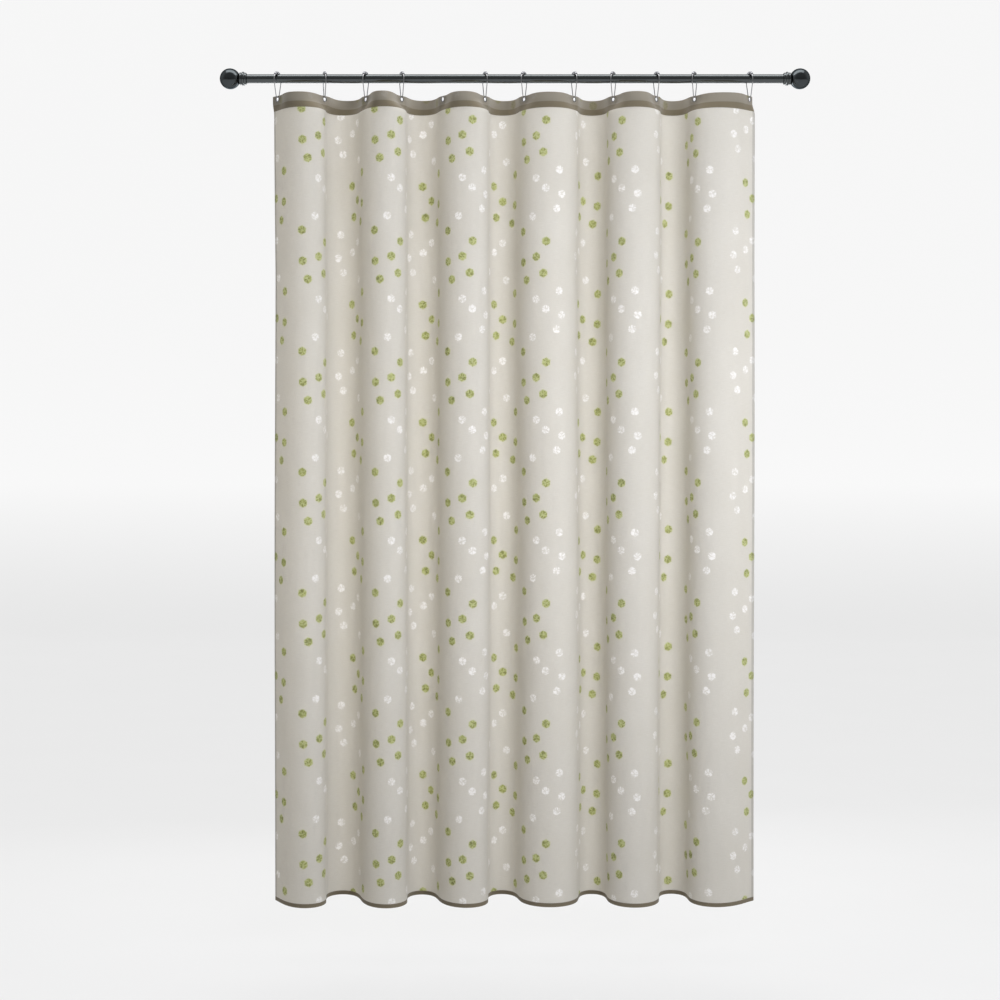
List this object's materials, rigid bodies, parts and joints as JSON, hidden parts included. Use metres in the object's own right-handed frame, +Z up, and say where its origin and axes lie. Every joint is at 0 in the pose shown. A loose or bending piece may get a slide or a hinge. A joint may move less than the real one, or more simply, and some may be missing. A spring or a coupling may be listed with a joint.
{
  "type": "shower curtain",
  "caption": "Printed, lightly see-through shower curtain hanging in soft folds from a dark ball-ended rod on thin chrome roller rings.",
  "frame": {"origin": "on the rod's axis at the middle of its length", "axes": "+X along the rod to the right seen from the printed side, -Y out of the printed side, +Z up"},
  "size_m": [1.3136, 0.1276, 1.8608],
  "materials": {
    "rod_paint": "satin gunmetal",
    "ball_paint": "satin black",
    "ring_chrome": "polished wire",
    "roller_chrome": "dark polished rollers",
    "eyelet_metal": "dark chrome",
    "cloth": "fine woven, lightly translucent, printed with small motifs"
  },
  "bodies": {
    "rod": {"rod_tube": "rod_paint", "collar_left": "rod_paint", "collar_right": "rod_paint", "end_ball_left": "ball_paint", "end_ball_right": "ball_paint"},
    "hook_01": {"ring_01": "ring_chrome", "rollers_01": "roller_chrome"},
    "fold_01": {"curtain_panel_01": "cloth", "eyelet_01": "eyelet_metal"},
    "hook_02": {"ring_02": "ring_chrome", "rollers_02": "roller_chrome"},
    "fold_02": {"curtain_panel_02": "cloth", "eyelet_02": "eyelet_metal"},
    "hook_03": {"ring_03": "ring_chrome", "rollers_03": "roller_chrome"},
    "fold_03": {"curtain_panel_03": "cloth", "eyelet_03": "eyelet_metal"},
    "hook_04": {"ring_04": "ring_chrome", "rollers_04": "roller_chrome"},
    "fold_04": {"curtain_panel_04": "cloth", "eyelet_04": "eyelet_metal"},
    "fold_05": {"curtain_panel_05": "cloth", "eyelet_05": "eyelet_metal"},
    "hook_06": {"ring_06": "ring_chrome", "rollers_06": "roller_chrome"},
    "fold_06": {"curtain_panel_06": "cloth", "eyelet_06": "eyelet_metal"},
    "hook_07": {"ring_07": "ring_chrome", "rollers_07": "roller_chrome"},
    "fold_07": {"curtain_panel_07": "cloth", "eyelet_07": "eyelet_metal"},
    "hook_08": {"ring_08": "ring_chrome", "rollers_08": "roller_chrome"},
    "fold_08": {"curtain_panel_08": "cloth", "eyelet_08": "eyelet_metal"},
    "hook_09": {"ring_09": "ring_chrome", "rollers_09": "roller_chrome"},
    "fold_09": {"curtain_panel_09": "cloth", "eyelet_09": "eyelet_metal"},
    "hook_10": {"ring_10": "ring_chrome", "rollers_10": "roller_chrome"},
    "fold_10": {"curtain_panel_10": "cloth", "eyelet_10": "eyelet_metal"},
    "hook_11": {"ring_11": "ring_chrome", "rollers_11": "roller_chrome"},
    "fold_11": {"curtain_panel_11": "cloth", "eyelet_11": "eyelet_metal"},
    "hook_12": {"ring_12": "ring_chrome", "rollers_12": "roller_chrome"},
    "fold_12": {"curtain_panel_12": "cloth", "eyelet_12": "eyelet_metal"}
  },
  "joints": [
    {"name": "swing", "type": "hinge", "parent": "rod", "child": "hook_01", "pos_m": [0, 0, 0], "axis": [1, 0, 0], "range_deg": [-10, 10]},
    {"name": "gather", "type": "hinge", "parent": "hook_01", "child": "fold_01", "pos_m": [-0.52846, 0, 0], "axis": [0, 0, -1], "range_deg": [-2.5, 24]},
    {"name": "crease_01", "type": "hinge", "parent": "fold_01", "child": "fold_02", "pos_m": [-0.47611, -0.05423, 0], "axis": [0, 0, -1], "range_deg": [-48, 5]},
    {"name": "crease_02", "type": "hinge", "parent": "fold_02", "child": "fold_03", "pos_m": [-0.37802, 0.05995, 0], "axis": [0, 0, -1], "range_deg": [-5, 48]},
    {"name": "crease_03", "type": "hinge", "parent": "fold_03", "child": "fold_04", "pos_m": [-0.29217, -0.0641, 0], "axis": [0, 0, -1], "range_deg": [-48, 5]},
    {"name": "crease_04", "type": "hinge", "parent": "fold_04", "child": "fold_05", "pos_m": [-0.20632, 0.05995, 0], "axis": [0, 0, -1], "range_deg": [-5, 48]},
    {"name": "crease_05", "type": "hinge", "parent": "fold_05", "child": "fold_06", "pos_m": [-0.11373, -0.05902, 0], "axis": [0, 0, -1], "range_deg": [-48, 5]},
    {"name": "crease_06", "type": "hinge", "parent": "fold_06", "child": "fold_07", "pos_m": [-0.0234, 0.06169, 0], "axis": [0, 0, -1], "range_deg": [-5, 48]},
    {"name": "crease_07", "type": "hinge", "parent": "fold_07", "child": "fold_08", "pos_m": [0.07582, -0.05085, 0], "axis": [0, 0, -1], "range_deg": [-48, 5]},
    {"name": "crease_08", "type": "hinge", "parent": "fold_08", "child": "fold_09", "pos_m": [0.17504, 0.06168, 0], "axis": [0, 0, -1], "range_deg": [-5, 48]},
    {"name": "crease_09", "type": "hinge", "parent": "fold_09", "child": "fold_10", "pos_m": [0.26644, -0.05816, 0], "axis": [0, 0, -1], "range_deg": [-48, 5]},
    {"name": "crease_10", "type": "hinge", "parent": "fold_10", "child": "fold_11", "pos_m": [0.35677, 0.06249, 0], "axis": [0, 0, -1], "range_deg": [-5, 48]},
    {"name": "crease_11", "type": "hinge", "parent": "fold_11", "child": "fold_12", "pos_m": [0.46047, -0.04414, 0], "axis": [0, 0, -1], "range_deg": [-48, 5]},
    {"name": "hook_turn_02", "type": "hinge", "parent": "fold_02", "child": "hook_02", "pos_m": [-0.42375, 0, 0], "axis": [0, 0, -1], "range_deg": [-1.38, 13.2]},
    {"name": "hook_turn_03", "type": "hinge", "parent": "fold_03", "child": "hook_03", "pos_m": [-0.33229, 0, 0], "axis": [0, 0, -1], "range_deg": [-13.2, 1.38]},
    {"name": "hook_turn_04", "type": "hinge", "parent": "fold_04", "child": "hook_04", "pos_m": [-0.25205, 0, 0], "axis": [0, 0, -1], "range_deg": [-1.38, 13.2]},
    {"name": "hook_turn_06", "type": "hinge", "parent": "fold_06", "child": "hook_06", "pos_m": [-0.06686, 0, 0], "axis": [0, 0, -1], "range_deg": [-1.38, 13.2]},
    {"name": "hook_turn_07", "type": "hinge", "parent": "fold_07", "child": "hook_07", "pos_m": [0.02006, 0, 0], "axis": [0, 0, -1], "range_deg": [-13.2, 1.38]},
    {"name": "hook_turn_08", "type": "hinge", "parent": "fold_08", "child": "hook_08", "pos_m": [0.13158, 0, 0], "axis": [0, 0, -1], "range_deg": [-1.38, 13.2]},
    {"name": "hook_turn_09", "type": "hinge", "parent": "fold_09", "child": "hook_09", "pos_m": [0.2185, 0, 0], "axis": [0, 0, -1], "range_deg": [-13.2, 1.38]},
    {"name": "hook_turn_10", "type": "hinge", "parent": "fold_10", "child": "hook_10", "pos_m": [0.31438, 0, 0], "axis": [0, 0, -1], "range_deg": [-1.38, 13.2]},
    {"name": "hook_turn_11", "type": "hinge", "parent": "fold_11", "child": "hook_11", "pos_m": [0.39915, 0, 0], "axis": [0, 0, -1], "range_deg": [-13.2, 1.38]},
    {"name": "hook_turn_12", "type": "hinge", "parent": "fold_12", "child": "hook_12", "pos_m": [0.52178, 0, 0], "axis": [0, 0, -1], "range_deg": [-1.38, 13.2]}
  ],
  "couplings": [
    {"joint": "crease_01", "follows": "gather", "ratio": -2},
    {"joint": "crease_02", "follows": "gather", "ratio": 2},
    {"joint": "crease_03", "follows": "gather", "ratio": -2},
    {"joint": "crease_04", "follows": "gather", "ratio": 2},
    {"joint": "crease_05", "follows": "gather", "ratio": -2},
    {"joint": "crease_06", "follows": "gather", "ratio": 2},
    {"joint": "crease_07", "follows": "gather", "ratio": -2},
    {"joint": "crease_08", "follows": "gather", "ratio": 2},
    {"joint": "crease_09", "follows": "gather", "ratio": -2},
    {"joint": "crease_10", "follows": "gather", "ratio": 2},
    {"joint": "crease_11", "follows": "gather", "ratio": -2},
    {"joint": "hook_turn_02", "follows": "gather", "ratio": 0.55},
    {"joint": "hook_turn_03", "follows": "gather", "ratio": -0.55},
    {"joint": "hook_turn_04", "follows": "gather", "ratio": 0.55},
    {"joint": "hook_turn_06", "follows": "gather", "ratio": 0.55},
    {"joint": "hook_turn_07", "follows": "gather", "ratio": -0.55},
    {"joint": "hook_turn_08", "follows": "gather", "ratio": 0.55},
    {"joint": "hook_turn_09", "follows": "gather", "ratio": -0.55},
    {"joint": "hook_turn_10", "follows": "gather", "ratio": 0.55},
    {"joint": "hook_turn_11", "follows": "gather", "ratio": -0.55},
    {"joint": "hook_turn_12", "follows": "gather", "ratio": 0.55}
  ]
}
